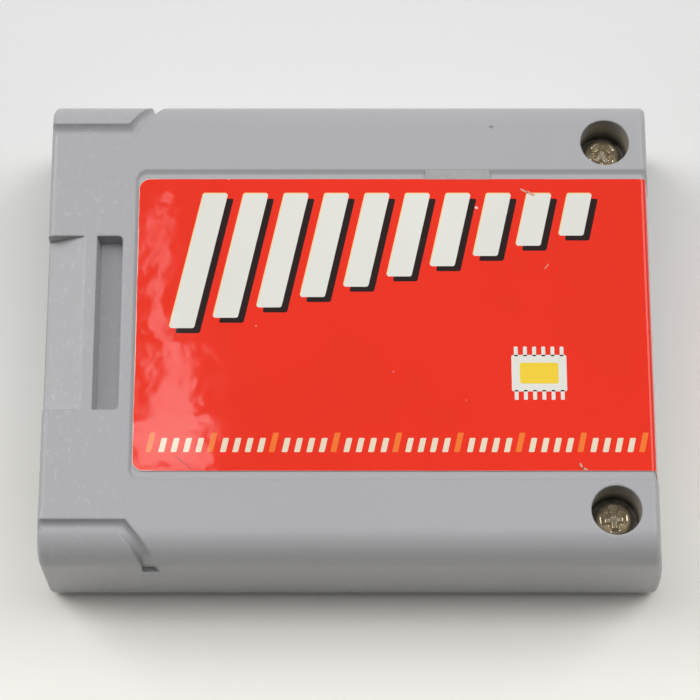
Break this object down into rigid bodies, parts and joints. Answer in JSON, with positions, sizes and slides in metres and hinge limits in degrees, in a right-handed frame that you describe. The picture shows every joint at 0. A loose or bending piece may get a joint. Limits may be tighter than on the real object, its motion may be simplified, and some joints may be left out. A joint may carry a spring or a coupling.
{
  "type": "console memory card",
  "caption": "Flat plug-in memory card: moulded shells screwed together around a circuit board, with a connector mouth, a latch pocket, corner grooves and a wrapped label.",
  "frame": {"origin": "middle of the underside, on the surface that the card lies on", "axes": "+Z out of the label face, -X the connector end that enters the slot, +X the outer end"},
  "size_m": [0.0676, 0.0536, 0.016],
  "materials": {
    "shell_plastic": "fine moulded texture",
    "label_film": "gloss laminate",
    "screw_metal": "dull plated",
    "board_laminate": "solder mask",
    "contact_plating": "plated",
    "chip_resin": "moulded",
    "tinned_metal": "tinned",
    "cell_steel": "satin",
    "solder": "bright",
    "resistor_body": "matte",
    "capacitor_body": "matte",
    "diode_glass": "gloss"
  },
  "bodies": {
    "root": {"front_shell": "shell_plastic", "rear_shell": "shell_plastic", "label": "label_film", "case_screws": "screw_metal", "circuit_board": "board_laminate", "upper_contacts": "contact_plating", "lower_contacts": "contact_plating", "memory_chip": "chip_resin", "memory_chip_leads": "tinned_metal", "decoder_chip": "chip_resin", "decoder_chip_leads": "tinned_metal", "supply_chip": "chip_resin", "supply_chip_leads": "tinned_metal", "transistor": "chip_resin", "transistor_leads": "tinned_metal", "coin_cell": "cell_steel", "battery_tab_positive": "tinned_metal", "battery_tab_negative": "tinned_metal", "battery_solder_joints": "solder", "resistor_1": "resistor_body", "resistor_2": "resistor_body", "resistor_3": "resistor_body", "resistor_4": "resistor_body", "capacitor_1": "capacitor_body", "capacitor_2": "capacitor_body", "capacitor_3": "capacitor_body", "diode_1": "diode_glass", "diode_2": "diode_glass"}
  },
  "joints": []
}
